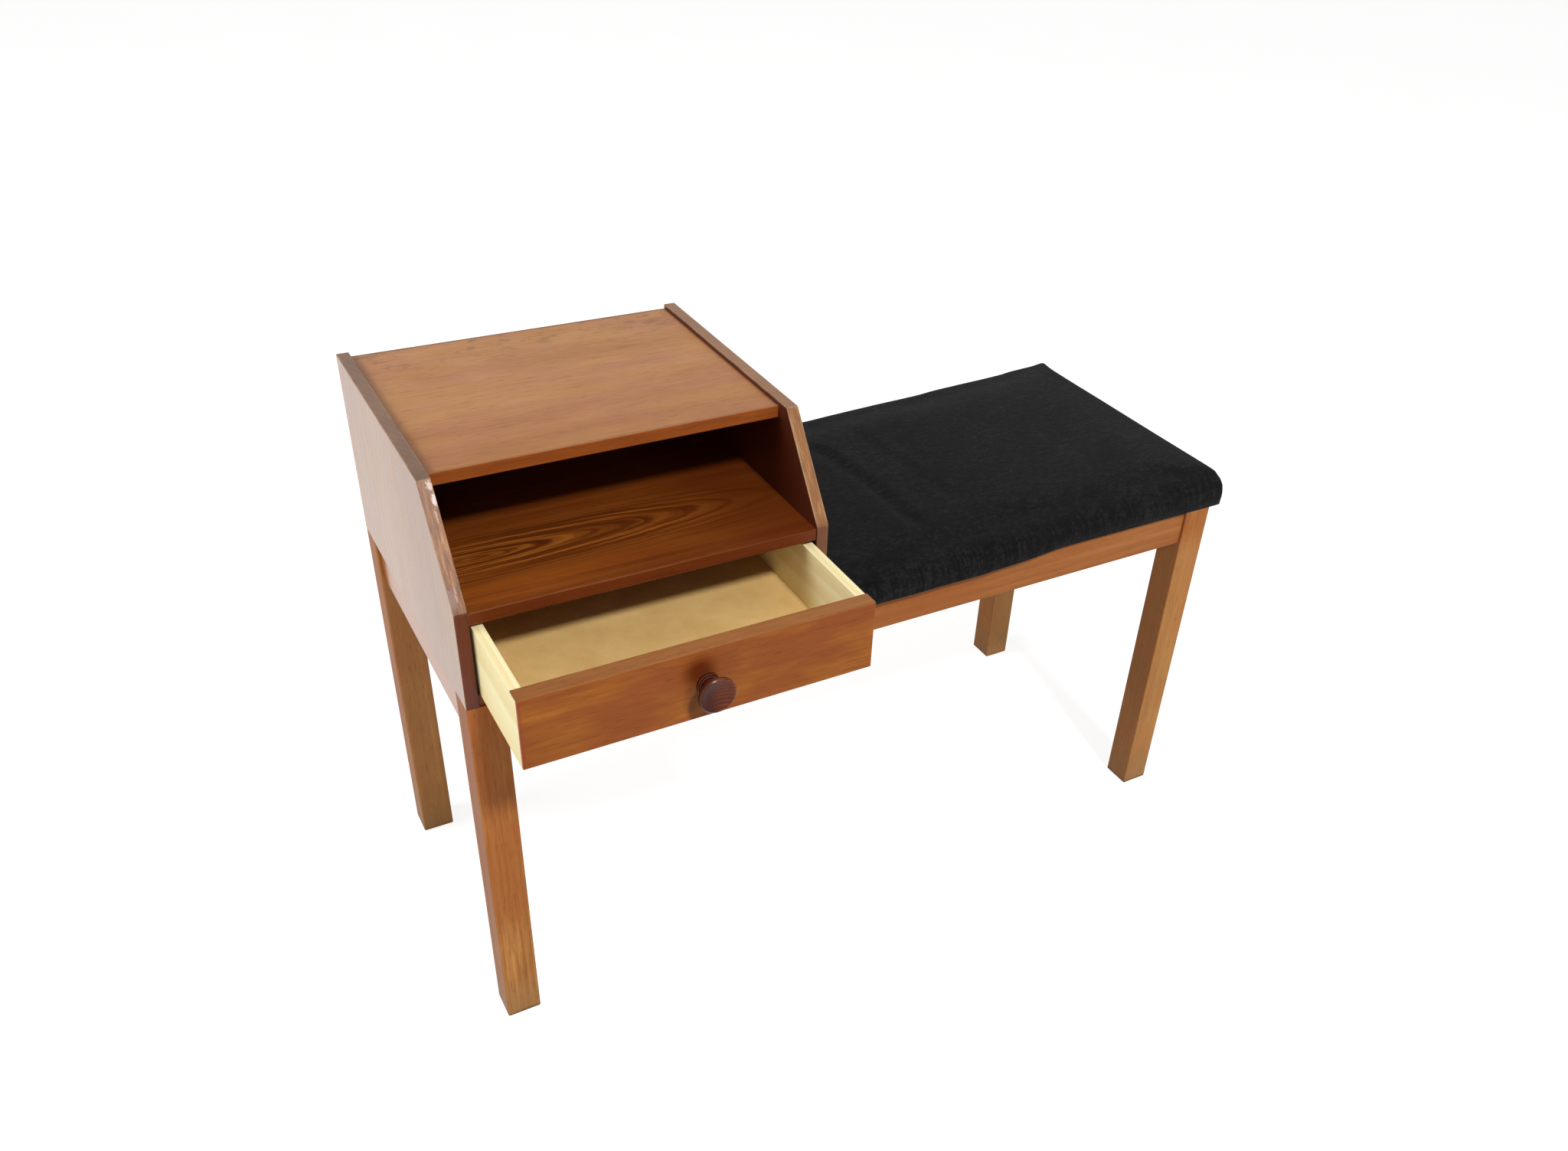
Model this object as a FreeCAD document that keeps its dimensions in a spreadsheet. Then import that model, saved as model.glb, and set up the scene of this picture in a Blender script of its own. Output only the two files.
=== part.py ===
"""Telephone bench: a padded seat and a small cabinet with a drawer, side by side on one leg frame.

Millimetres. X runs along the bench from the cabinet to the seat, Y from front to back, Z up.
The origin is the middle of the footprint on the floor, with the drawer standing open.
"""
import FreeCAD, Part

import math
import os
import re

import Sketcher

# Sizes that are set by themselves: name, millimetres, what it measures
SIZES = [
    ("frame_length", 850, "leg frame, outside to outside along X"),
    ("frame_depth", 342, "leg frame, outside to outside along Y"),
    ("leg_height", 400, "floor to the top of the leg frame"),
    ("leg_width", 34, "side of the square leg"),
    ("leg_rounding", 1.8, "rounding of the long edges of a leg"),
    ("apron_height", 41, "front and rear aprons"),
    ("apron_thickness", 20, "front and rear aprons"),
    ("apron_set_back", 3.5, "apron face behind the leg face"),
    ("end_rail_height", 45, "rails between front and rear legs"),
    ("end_rail_thickness", 20, "rails between front and rear legs"),
    ("end_rail_set_back", 4, "end rail face behind the leg face"),
    ("rail_rounding", 1, "rounding of the lower edges of aprons and rails"),
    ("tenon_length", 14, "tenon of an apron or end rail"),
    ("tenon_thickness", 8, "tenon of an apron, end rail or middle rail"),
    ("tenon_shoulder", 6, "rail left above and below a tenon"),
    ("tenon_play", 0.15, "gap between a tenon's cheek and its mortise"),
    ("end_gap", 0.5, "blind holes and mortises deeper than what they hold"),
    ("middle_rail_width", 50, "flat rail under the joint of cabinet and seat"),
    ("middle_tenon_width", 30, "tenon of the middle rail, along the apron"),
    ("middle_tenon_length", 8, "tenon of the middle rail, into the apron"),
    ("support_height", 25, "middle rail and corner braces"),
    ("brace_reach", 72, "corner brace, along each rail"),
    ("brace_width", 26, "corner brace, face that meets a rail"),
    ("cabinet_width", 350, "cabinet, outside to outside along X"),
    ("cabinet_height", 189, "side panel above the leg frame"),
    ("panel_thickness", 12, "side panels"),
    ("panel_front_height", 98, "upright front edge of a side panel"),
    ("panel_slope_run", 66, "how far the sloped front edge leans back"),
    ("panel_rounding", 0.8, "rounding of the outline of a side panel"),
    ("board_thickness", 12, "top board, shelf and cabinet bottom"),
    ("board_rounding", 1, "rounding of a board's front edge"),
    ("top_board_drop", 4.5, "top board below the top edges of the panels"),
    ("top_board_set_back", 82, "front edge of the top board behind the panel fronts"),
    ("shelf_top", 95.5, "upper face of the shelf above the leg frame"),
    ("shelf_set_back", 1.5, "front edges of shelf and bottom behind the panel fronts"),
    ("housing_depth", 4, "grooves in the panels that take the boards"),
    ("tongue_thickness", 6, "tongue of a board in its groove"),
    ("tongue_stop", 14, "tongue starts this far behind a board's front edge"),
    ("tongue_play", 0.15, "gap round a tongue"),
    ("back_thickness", 4, "hardboard back of the cabinet"),
    ("back_rebate", 6, "rebate in the panels that takes the back"),
    ("back_play", 0.3, "gap round the back"),
    ("drawer_opening", 110, "drawer face in front of the leg frame at rest"),
    ("drawer_side_gap", 2, "drawer to side panel"),
    ("drawer_running_gap", 0.3, "drawer sides above the cabinet bottom"),
    ("drawer_rear_gap", 0.5, "closed drawer to the cabinet back"),
    ("drawer_front_thickness", 16, "drawer front"),
    ("drawer_front_rise", 0.9, "drawer front's lower edge above the sides' lower edges"),
    ("drawer_front_headroom", 1.3, "drawer front to the underside of the shelf"),
    ("drawer_front_lip", 2, "drawer front above the drawer sides"),
    ("drawer_front_lap", 3, "drawer front left in front of the ends of the sides"),
    ("drawer_front_rounding", 1, "rounding round the face of the drawer front"),
    ("drawer_side_thickness", 10, "drawer sides"),
    ("drawer_back_thickness", 10, "drawer back"),
    ("drawer_back_drop", 4, "drawer back below the tops of the sides"),
    ("drawer_back_housing", 3, "grooves in the sides that take the drawer back"),
    ("drawer_bottom_thickness", 4, "hardboard drawer bottom"),
    ("drawer_bottom_rise", 3.6, "drawer bottom above the lower edges of the sides"),
    ("drawer_groove_depth", 4, "groove for the drawer bottom"),
    ("drawer_play", 0.15, "gap round what is let into the drawer's boards"),
    ("knob_projection", 21, "knob in front of the drawer face"),
    ("knob_radius", 17, "knob's rim"),
    ("knob_rim_thickness", 5, "straight edge of the knob's rim"),
    ("knob_flare", 4, "underside of the rim, along the knob's axis"),
    ("knob_neck_radius", 8, "knob's neck"),
    ("knob_foot_step", 2.5, "knob's foot past its neck"),
    ("knob_foot_height", 3, "knob's foot, along its axis"),
    ("knob_dish_depth", 2.6, "hollow in the knob's face"),
    ("knob_lip", 2.4, "rim left round the hollow"),
    ("knob_bevel", 1.1, "bevels of the knob's rim, front and behind"),
    ("knob_screw_depth", 13, "screw in the knob"),
    ("knob_screw_radius", 2, "shank of the knob's screw"),
    ("knob_screw_head_radius", 4, "head of the knob's screw"),
    ("knob_screw_head_height", 2.4, "head of the knob's screw"),
    ("screw_play", 0.2, "gap round a screw's shank"),
    ("frame_screw_radius", 1.8, "shank of the screws that hold cabinet and seat"),
    ("frame_screw_head_radius", 3.8, "their countersunk heads"),
    ("frame_screw_head_height", 2.4, "their countersunk heads"),
    ("frame_screw_bite", 6.5, "how far they enter the boards above"),
    ("middle_screw_spread", 19, "middle rail's screws to either side of its centre line"),
    ("middle_screw_inset", 90, "middle rail's screws from the frame's front and rear"),
    ("seat_overhang", 17, "cushion past the right-hand legs"),
    ("seat_front_overhang", 4, "cushion past the front legs"),
    ("seat_cabinet_gap", 0.4, "cushion to the cabinet's panel"),
    ("seat_edge_height", 30, "cushion's edge above the leg frame"),
    ("seat_crown", 8, "middle of the cushion above its edges"),
    ("seat_end_crown", 3.6, "the same at the cushion's two ends"),
    ("seat_edge_radius", 9, "roll of the cushion's upper edges"),
    ("seat_hem_radius", 3, "roll of the cushion's lower edges"),
    ("seat_draw_in", 2.5, "sides of the cushion pull in between its corners"),
    ("seat_board_thickness", 9, "plywood under the padding"),
    ("seat_wrap", 5, "cover and padding round the plywood's edge"),
    ("seat_play", 0.3, "cushion to plywood and to the leg frame"),
    ("seat_board_corner", 10, "corners of the plywood"),
]

# Sizes and places that follow from those above
DERIVED = [
    ("zero", "0"),
    ("left_x", "-(frame_length + seat_overhang) / 2"),
    ("front_y", "(drawer_opening + knob_projection - frame_depth) / 2"),
    ("rear_y", "front_y + frame_depth"),
    ("foot_bevel", "leg_rounding * 0.8"),
    ("apron_span", "frame_length - 2 * leg_width"),
    ("end_rail_span", "frame_depth - 2 * leg_width"),
    ("apron_z", "leg_height - apron_height"),
    ("end_rail_z", "leg_height - end_rail_height"),
    ("support_z", "leg_height - support_height"),
    ("apron_inside", "apron_set_back + apron_thickness"),
    ("end_rail_inside", "end_rail_set_back + end_rail_thickness"),
    ("middle_rail_span", "frame_depth - 2 * apron_inside"),
    ("mortise_thickness", "tenon_thickness + 2 * tenon_play"),
    ("mortise_depth", "tenon_length + end_gap"),
    ("apron_mortise_in", "apron_set_back + (apron_thickness - mortise_thickness) / 2"),
    ("end_mortise_in", "end_rail_set_back + (end_rail_thickness - mortise_thickness) / 2"),
    ("brace_start", "brace_reach - brace_width"),
    ("cabinet_inner_width", "cabinet_width - 2 * panel_thickness"),
    ("top_board_z", "cabinet_height - top_board_drop - board_thickness"),
    ("shelf_z", "shelf_top - board_thickness"),
    ("top_board_depth", "frame_depth - top_board_set_back"),
    ("board_depth", "frame_depth - back_thickness - shelf_set_back"),
    ("drawer_width", "cabinet_inner_width - 2 * drawer_side_gap"),
    ("drawer_depth", "board_depth - drawer_rear_gap"),
    ("drawer_x", "left_x + panel_thickness + drawer_side_gap"),
    ("drawer_y", "front_y - drawer_opening"),
    ("drawer_z", "leg_height + board_thickness + drawer_running_gap"),
    ("drawer_top", "leg_height + shelf_z - drawer_front_headroom"),
    ("drawer_front_height", "drawer_top - drawer_z - drawer_front_rise"),
    ("drawer_side_height", "drawer_top - drawer_front_lip - drawer_z"),
    ("drawer_side_length", "drawer_depth - drawer_front_lap - drawer_play"),
    ("drawer_inner_width", "drawer_width - 2 * drawer_side_thickness"),
    ("drawer_groove_height", "drawer_bottom_thickness + 2 * drawer_play"),
    ("drawer_bottom_top", "drawer_bottom_rise + drawer_bottom_thickness"),
    ("drawer_back_height", "drawer_side_height - drawer_back_drop - drawer_bottom_top - drawer_play"),
    ("knob_x", "drawer_x + drawer_width / 2"),
    ("knob_z", "drawer_z + drawer_front_rise + drawer_front_height / 2"),
    ("knob_foot_radius", "knob_neck_radius + knob_foot_step"),
    ("knob_rim_start", "knob_projection - knob_rim_thickness"),
    ("knob_flare_start", "knob_rim_start - knob_flare"),
    ("knob_dish_radius", "knob_radius - knob_lip"),
    ("knob_dish_sphere", "(knob_dish_radius * knob_dish_radius / knob_dish_depth + knob_dish_depth) / 2"),
    ("knob_bore_radius", "knob_screw_radius + screw_play"),
    ("knob_screw_length", "knob_screw_head_height + drawer_front_thickness + knob_screw_depth"),
    ("frame_screw_hole", "frame_screw_radius + screw_play"),
    ("frame_screw_sink", "frame_screw_head_radius + screw_play"),
    ("frame_screw_length", "support_height + frame_screw_bite"),
    ("frame_screw_pilot", "frame_screw_bite + end_gap"),
    ("brace_screw", "(brace_start + brace_reach) / 4"),
    ("screw_left_x", "end_rail_inside + brace_screw"),
    ("screw_right_x", "frame_length - screw_left_x"),
    ("screw_front_y", "apron_inside + brace_screw"),
    ("screw_rear_y", "frame_depth - screw_front_y"),
    ("screw_cabinet_x", "cabinet_width - middle_screw_spread"),
    ("screw_seat_x", "cabinet_width + middle_screw_spread"),
    ("screw_fore_y", "middle_screw_inset"),
    ("screw_aft_y", "frame_depth - middle_screw_inset"),
    ("seat_x", "left_x + cabinet_width + seat_cabinet_gap"),
    ("seat_y", "front_y - seat_front_overhang"),
    ("seat_length", "frame_length + seat_overhang - cabinet_width - seat_cabinet_gap"),
    ("seat_depth", "frame_depth + seat_front_overhang"),
    ("seat_solid_height", "seat_edge_height - seat_play"),
]

# Screws up into the cabinet and the seat, from the frame's front left corner; the last two of each are
# in the middle rail
CABINET_SCREWS = [("screw_left_x", "screw_front_y"), ("screw_left_x", "screw_rear_y"),
                  ("screw_cabinet_x", "screw_fore_y"), ("screw_cabinet_x", "screw_aft_y")]
SEAT_SCREWS = [("screw_right_x", "screw_front_y"), ("screw_right_x", "screw_rear_y"),
               ("screw_seat_x", "screw_fore_y"), ("screw_seat_x", "screw_aft_y")]

doc = FreeCAD.newDocument("telephone_bench")
sheet = doc.addObject("Spreadsheet::Sheet", "sizes")
NAMES = [entry[0] for entry in SIZES + DERIVED]


def fill_sheet():
    """Sizes as plain numbers, then what follows from them as formulas, each cell under its alias."""
    for row, entry in enumerate(SIZES + DERIVED, 1):
        name, value = entry[:2]
        sheet.set(f"A{row}", name)
        sheet.set(f"B{row}", f"={value}" if isinstance(value, str) else str(value))
        sheet.setAlias(f"B{row}", name)
        if len(entry) == 3:
            sheet.set(f"C{row}", entry[2])
    doc.recompute()


def size(name):
    """The number in the sheet under this name."""
    return float(sheet.get(name))


def in_sheet(formula):
    """The formula with each size written as a reference to the sheet."""
    return re.sub(r"[a-z_]+", lambda word: f"sizes.{word[0]}" if word[0] in NAMES else word[0], formula)


def bind(item, **formulas):
    """Properties of a feature that follow the sheet; x, y and z are its place on its plane."""
    for name, formula in formulas.items():
        place = f"AttachmentOffset.Base.{name}" if name in ("x", "y", "z") else name
        item.setExpression(place, in_sheet(formula))


def new_body(name, x, y, z, turn=None):
    """A body under its own label, placed by formulas and, where given, turned."""
    body = doc.addObject("PartDesign::Body", name)
    body.Label = name
    if turn:
        body.Placement = FreeCAD.Placement(FreeCAD.Vector(), turn)
    for axis, formula in (("x", x), ("y", y), ("z", z)):
        body.setExpression(f"Placement.Base.{axis}", in_sheet(formula))
    return body


def attach(feature, body, role):
    """Seats a feature on one of its body's own origin planes."""
    plane = [item for item in body.Origin.OriginFeatures if item.Role == role][0]
    feature.AttachmentSupport = [(plane, "")]
    feature.MapMode = "FlatFace"


def add(body, kind, name, role="XY_Plane", x="zero", y="zero", z="zero", **formulas):
    """A PartDesign primitive that adds to the body or is cut from it, sized by formulas."""
    feature = body.newObject(f"PartDesign::{kind}", f"{body.Name}_{name}")
    attach(feature, body, role)
    bind(feature, x=x, y=y, z=z, **formulas)
    return feature


def board_of(body, name, length, width, height, **place):
    """A box added to the body, ready for its edges to be picked."""
    feature = add(body, "AdditiveBox", name, Length=length, Width=width, Height=height, **place)
    doc.recompute()
    return feature


def cut_box(body, name, length, width, height, **place):
    """A box cut from the body."""
    return add(body, "SubtractiveBox", name, Length=length, Width=width, Height=height, **place)


def outline(body, name, role, corners):
    """A closed sketch with straight sides; each corner is set by two named sizes."""
    sketch = body.newObject("Sketcher::SketchObject", f"{body.Name}_{name}")
    attach(sketch, body, role)
    count = len(corners)
    spots = [FreeCAD.Vector(size(u), size(v), 0) for u, v in corners]
    for number in range(count):
        sketch.addGeometry(Part.LineSegment(spots[number], spots[(number + 1) % count]))
    for number in range(count):
        sketch.addConstraint(Sketcher.Constraint("Coincident", number, 2, (number + 1) % count, 1))
    for number, corner in enumerate(corners):
        for kind, axis, formula in (("DistanceX", -2, corner[0]), ("DistanceY", -1, corner[1])):
            if formula == "zero":
                sketch.addConstraint(Sketcher.Constraint("PointOnObject", number, 1, axis))
                continue
            index = sketch.addConstraint(Sketcher.Constraint(kind, -1, 1, number, 1, size(formula)))
            sketch.setExpression(f"Constraints[{index}]", in_sheet(formula))
    return sketch


def pad(body, name, sketch, length):
    """Raises a sketch along its plane's normal."""
    feature = body.newObject("PartDesign::Pad", f"{body.Name}_{name}")
    feature.Profile = sketch
    bind(feature, Length=length)
    doc.recompute()
    return feature


def revolve(body, sketch):
    """Turns a sketch once round its own vertical axis."""
    feature = body.newObject("PartDesign::Revolution", f"{body.Name}_turned")
    feature.Profile = sketch
    feature.ReferenceAxis = (sketch, ["V_Axis"])
    feature.Angle = 360
    doc.recompute()
    return feature


def soften(body, name, kind, base, test, reach):
    """A Fillet or Chamfer on the edges whose two ends pass the test."""
    names = []
    for number, edge in enumerate(base.Shape.Edges, 1):
        ends = [vertex.Point for vertex in edge.Vertexes]
        if test(ends[0], ends[-1]):
            names.append(f"Edge{number}")
    feature = body.newObject(f"PartDesign::{kind}", f"{body.Name}_{name}")
    feature.Base = (base, names)
    bind(feature, **{"Radius" if kind == "Fillet" else "Size": reach})
    doc.recompute()
    return feature


def same(first, second):
    """Whether two lengths agree."""
    return abs(first - second) < 1e-6


# Leg frame

def leg(name, right, rear):
    """Square leg with rounded long edges, a bevelled foot and mortises for its apron and end rail."""
    body = new_body(name, "left_x + frame_length - leg_width" if right else "left_x",
                    "rear_y - leg_width" if rear else "front_y", "zero")
    square = outline(body, "section", "XY_Plane",
                     [("zero", "zero"), ("leg_width", "zero"), ("leg_width", "leg_width"), ("zero", "leg_width")])
    post = pad(body, "post", square, "leg_height")
    rounded = soften(body, "long_edges", "Fillet", post,
                     lambda a, b: same(a.x, b.x) and same(a.y, b.y), "leg_rounding")
    soften(body, "foot", "Chamfer", rounded, lambda a, b: same(a.z, 0) and same(b.z, 0), "foot_bevel")
    cut_box(body, "apron_mortise", "mortise_depth", "mortise_thickness",
            "apron_height - 2 * tenon_shoulder + 2 * tenon_play",
            x="zero" if right else "leg_width - mortise_depth",
            y="leg_width - apron_mortise_in - mortise_thickness" if rear else "apron_mortise_in",
            z="apron_z + tenon_shoulder - tenon_play")
    cut_box(body, "rail_mortise", "mortise_thickness", "mortise_depth",
            "end_rail_height - 2 * tenon_shoulder + 2 * tenon_play",
            x="leg_width - end_mortise_in - mortise_thickness" if right else "end_mortise_in",
            y="zero" if rear else "leg_width - mortise_depth",
            z="end_rail_z + tenon_shoulder - tenon_play")
    return body


def apron(name, rear):
    """Long rail between two legs, with a tenon at each end and a mortise for the middle rail."""
    body = new_body(name, "left_x + leg_width",
                    "rear_y - apron_inside" if rear else "front_y + apron_set_back", "apron_z")
    rail = board_of(body, "rail", "apron_span", "apron_thickness", "apron_height")
    soften(body, "lower_edges", "Fillet", rail,
           lambda a, b: same(a.z, 0) and same(b.z, 0) and same(a.y, b.y), "rail_rounding")
    board_of(body, "tenons", "apron_span + 2 * tenon_length", "tenon_thickness",
             "apron_height - 2 * tenon_shoulder",
             x="-tenon_length", y="(apron_thickness - tenon_thickness) / 2", z="tenon_shoulder")
    cut_box(body, "middle_mortise", "middle_tenon_width + 2 * tenon_play", "middle_tenon_length + end_gap",
            "support_height - 2 * tenon_shoulder + 2 * tenon_play",
            x="cabinet_width - leg_width - middle_tenon_width / 2 - tenon_play",
            y="zero" if rear else "apron_thickness - middle_tenon_length - end_gap",
            z="apron_height - support_height + tenon_shoulder - tenon_play")
    return body


def end_rail(name, right):
    """Short rail between a front and a rear leg, with a tenon at each end."""
    body = new_body(name, "left_x + frame_length - end_rail_inside" if right else "left_x + end_rail_set_back",
                    "front_y + leg_width", "end_rail_z")
    rail = board_of(body, "rail", "end_rail_thickness", "end_rail_span", "end_rail_height")
    soften(body, "lower_edges", "Fillet", rail,
           lambda a, b: same(a.z, 0) and same(b.z, 0) and same(a.x, b.x), "rail_rounding")
    board_of(body, "tenons", "tenon_thickness", "end_rail_span + 2 * tenon_length",
             "end_rail_height - 2 * tenon_shoulder",
             x="(end_rail_thickness - tenon_thickness) / 2", y="-tenon_length", z="tenon_shoulder")
    return body


def screw_way(body, name, x, y):
    """Clearance hole up through a brace or the middle rail, countersunk from below."""
    add(body, "SubtractiveCylinder", f"{name}_way", x=x, y=y, Radius="frame_screw_hole", Height="support_height")
    add(body, "SubtractiveCone", f"{name}_sink", x=x, y=y, Radius1="frame_screw_sink",
        Radius2="frame_screw_hole", Height="frame_screw_head_height")


def middle_rail():
    """Flat rail from apron to apron that carries the cabinet's right side and the seat's left end."""
    body = new_body("middle_rail", "left_x + cabinet_width - middle_rail_width / 2",
                    "front_y + apron_inside", "support_z")
    board_of(body, "rail", "middle_rail_width", "middle_rail_span", "support_height")
    board_of(body, "tenons", "middle_tenon_width", "middle_rail_span + 2 * middle_tenon_length",
             "support_height - 2 * tenon_shoulder",
             x="(middle_rail_width - middle_tenon_width) / 2", y="-middle_tenon_length", z="tenon_shoulder")
    for number, (x, y) in enumerate(CABINET_SCREWS[2:] + SEAT_SCREWS[2:], 1):
        screw_way(body, f"screw_{number}", f"{x} - cabinet_width + middle_rail_width / 2", f"{y} - apron_inside")
    return body


def corner_brace(name, right, rear):
    """Diagonal brace between an apron and an end rail, with the way for the screw that goes up through it."""
    turn = {(False, False): 0, (True, False): 90, (True, True): 180, (False, True): 270}[(right, rear)]
    body = new_body(name, "left_x + frame_length - end_rail_inside" if right else "left_x + end_rail_inside",
                    "rear_y - apron_inside" if rear else "front_y + apron_inside", "support_z",
                    FreeCAD.Rotation(turn, 0, 0))
    plan = outline(body, "plan", "XY_Plane",
                   [("brace_start", "zero"), ("brace_reach", "zero"), ("zero", "brace_reach"), ("zero", "brace_start")])
    pad(body, "bar", plan, "support_height")
    screw_way(body, "screw", "brace_screw", "brace_screw")
    return body


# Cabinet

def side_panel(name, right):
    """Side panel with its sloped front edge, grooves for three boards and a rebate for the back."""
    body = new_body(name, "left_x + cabinet_width - panel_thickness" if right else "left_x", "front_y", "leg_height")
    profile = outline(body, "profile", "YZ_Plane",
                      [("zero", "zero"), ("frame_depth", "zero"), ("frame_depth", "cabinet_height"),
                       ("panel_slope_run", "cabinet_height"), ("zero", "panel_front_height")])
    panel = pad(body, "panel", profile, "panel_thickness")
    middle_y = size("frame_depth") / 2
    low_z = size("panel_front_height") / 2
    soften(body, "outline", "Fillet", panel,
           lambda a, b: same(a.x, b.x) and min(a.y, b.y) < middle_y and max(a.z, b.z) > low_z, "panel_rounding")
    for board, board_z, set_back in (("top", "top_board_z", "top_board_set_back"),
                                     ("shelf", "shelf_z", "shelf_set_back"),
                                     ("bottom", "zero", "shelf_set_back")):
        cut_box(body, f"{board}_groove", "housing_depth",
                f"frame_depth - {set_back} - tongue_stop + tongue_play", "tongue_thickness + 2 * tongue_play",
                x="zero" if right else "panel_thickness - housing_depth",
                y=f"{set_back} + tongue_stop - tongue_play",
                z=f"{board_z} + (board_thickness - tongue_thickness) / 2 - tongue_play")
    cut_box(body, "back_rebate", "back_rebate", "back_thickness", "top_board_z",
            x="zero" if right else "panel_thickness - back_rebate", y="frame_depth - back_thickness")
    return body


def cabinet_board(name, board_z, set_back, depth):
    """Board between the side panels, with stopped tongues let into their grooves."""
    body = new_body(name, "left_x + panel_thickness", f"front_y + {set_back}", f"leg_height + {board_z}")
    board = board_of(body, "board", "cabinet_inner_width", depth, "board_thickness")
    soften(body, "front_edge", "Fillet", board,
           lambda a, b: same(a.y, 0) and same(b.y, 0) and same(a.z, b.z), "board_rounding")
    board_of(body, "tongues", "cabinet_inner_width + 2 * (housing_depth - tongue_play)",
             f"{depth} - tongue_stop", "tongue_thickness",
             x="tongue_play - housing_depth", y="tongue_stop", z="(board_thickness - tongue_thickness) / 2")
    return body


def cabinet_bottom():
    """The board that the drawer runs on, with pilot holes for the screws from the frame below."""
    body = cabinet_board("cabinet_bottom", "zero", "shelf_set_back", "board_depth")
    for number, (x, y) in enumerate(CABINET_SCREWS, 1):
        add(body, "SubtractiveCylinder", f"pilot_{number}", x=f"{x} - panel_thickness",
            y=f"{y} - shelf_set_back", Radius="frame_screw_hole", Height="frame_screw_pilot")
    return body


def cabinet_back():
    """Hardboard back in the panels' rebates, under the top board and behind the other two."""
    body = new_body("cabinet_back", "left_x + panel_thickness - back_rebate + back_play",
                    "rear_y - back_thickness", "leg_height + back_play")
    board_of(body, "board", "cabinet_inner_width + 2 * (back_rebate - back_play)",
             "back_thickness", "top_board_z - 2 * back_play")
    return body


# Drawer

def drawer_front():
    """Front board, rebated behind for the sides, grooved for the bottom and bored for the knob's screw."""
    body = new_body("drawer_front", "drawer_x", "drawer_y", "drawer_z + drawer_front_rise")
    board = board_of(body, "board", "drawer_width", "drawer_front_thickness", "drawer_front_height")
    soften(body, "face", "Fillet", board, lambda a, b: same(a.y, 0) and same(b.y, 0), "drawer_front_rounding")
    for end, x in (("left", "zero"), ("right", "drawer_width - drawer_side_thickness - drawer_play")):
        cut_box(body, f"{end}_rebate", "drawer_side_thickness + drawer_play",
                "drawer_front_thickness - drawer_front_lap", "drawer_front_height - drawer_front_lip + drawer_play",
                x=x, y="drawer_front_lap")
    cut_box(body, "bottom_groove", "drawer_inner_width", "drawer_groove_depth", "drawer_groove_height",
            x="drawer_side_thickness", y="drawer_front_thickness - drawer_groove_depth",
            z="drawer_bottom_rise - drawer_front_rise - drawer_play")
    add(body, "SubtractiveCylinder", "bore", "XZ_Plane", x="drawer_width / 2", y="drawer_front_height / 2",
        z="-drawer_front_thickness", Radius="knob_bore_radius", Height="drawer_front_thickness")
    return body


def drawer_side(name, right):
    """Side board, grooved inside for the bottom and the back."""
    body = new_body(name, "drawer_x + drawer_width - drawer_side_thickness" if right else "drawer_x",
                    "drawer_y + drawer_front_lap + drawer_play", "drawer_z")
    board_of(body, "board", "drawer_side_thickness", "drawer_side_length", "drawer_side_height")
    cut_box(body, "bottom_groove", "drawer_groove_depth", "drawer_side_length", "drawer_groove_height",
            x="zero" if right else "drawer_side_thickness - drawer_groove_depth",
            z="drawer_bottom_rise - drawer_play")
    cut_box(body, "back_groove", "drawer_back_housing", "drawer_back_thickness + 2 * drawer_play",
            "drawer_side_height - drawer_bottom_top",
            x="zero" if right else "drawer_side_thickness - drawer_back_housing",
            y="drawer_side_length - 2 * drawer_back_thickness - drawer_play", z="drawer_bottom_top")
    return body


def drawer_back():
    """Back board between the sides, over the drawer bottom."""
    body = new_body("drawer_back", "drawer_x + drawer_side_thickness - drawer_back_housing + drawer_play",
                    "drawer_y + drawer_depth - 2 * drawer_back_thickness",
                    "drawer_z + drawer_bottom_top + drawer_play")
    board_of(body, "board", "drawer_inner_width + 2 * (drawer_back_housing - drawer_play)",
             "drawer_back_thickness", "drawer_back_height")
    return body


def drawer_bottom():
    """Hardboard bottom in the grooves of front and sides, run out under the back."""
    body = new_body("drawer_bottom", "drawer_x + drawer_side_thickness - drawer_groove_depth + drawer_play",
                    "drawer_y + drawer_front_thickness + drawer_play", "drawer_z + drawer_bottom_rise")
    board_of(body, "board", "drawer_inner_width + 2 * (drawer_groove_depth - drawer_play)",
             "drawer_depth - drawer_front_thickness - drawer_back_thickness - drawer_play",
             "drawer_bottom_thickness")
    board_of(body, "tongue", "drawer_inner_width - 2 * drawer_play", "drawer_groove_depth",
             "drawer_bottom_thickness", x="drawer_groove_depth", y="2 * drawer_play - drawer_groove_depth")
    return body


def knob():
    """Turned knob: foot, neck and flared rim, with a dished face and a blind hole for its screw."""
    body = new_body("knob", "knob_x", "drawer_y", "knob_z", FreeCAD.Rotation(180, 0, 0))
    section = outline(body, "section", "XY_Plane",
                      [("knob_bore_radius", "zero"), ("knob_foot_radius", "zero"),
                       ("knob_foot_radius", "knob_foot_height"), ("knob_neck_radius", "knob_foot_height"),
                       ("knob_neck_radius", "knob_flare_start"), ("knob_radius", "knob_rim_start"),
                       ("knob_radius", "knob_projection"), ("knob_bore_radius", "knob_projection")])
    turned = revolve(body, section)
    rim = size("knob_radius")
    soften(body, "rim_edges", "Chamfer", turned,
           lambda a, b: same((a - b).Length, 0) and same(math.hypot(a.x, a.z), rim), "knob_bevel")
    add(body, "AdditiveCylinder", "core", "XZ_Plane", z="-knob_projection", Radius="knob_neck_radius",
        Height="knob_projection - knob_screw_depth - end_gap")
    add(body, "SubtractiveSphere", "dish", "XZ_Plane", z="knob_dish_depth - knob_projection - knob_dish_sphere",
        Radius="knob_dish_sphere")
    return body


# Seat

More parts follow.
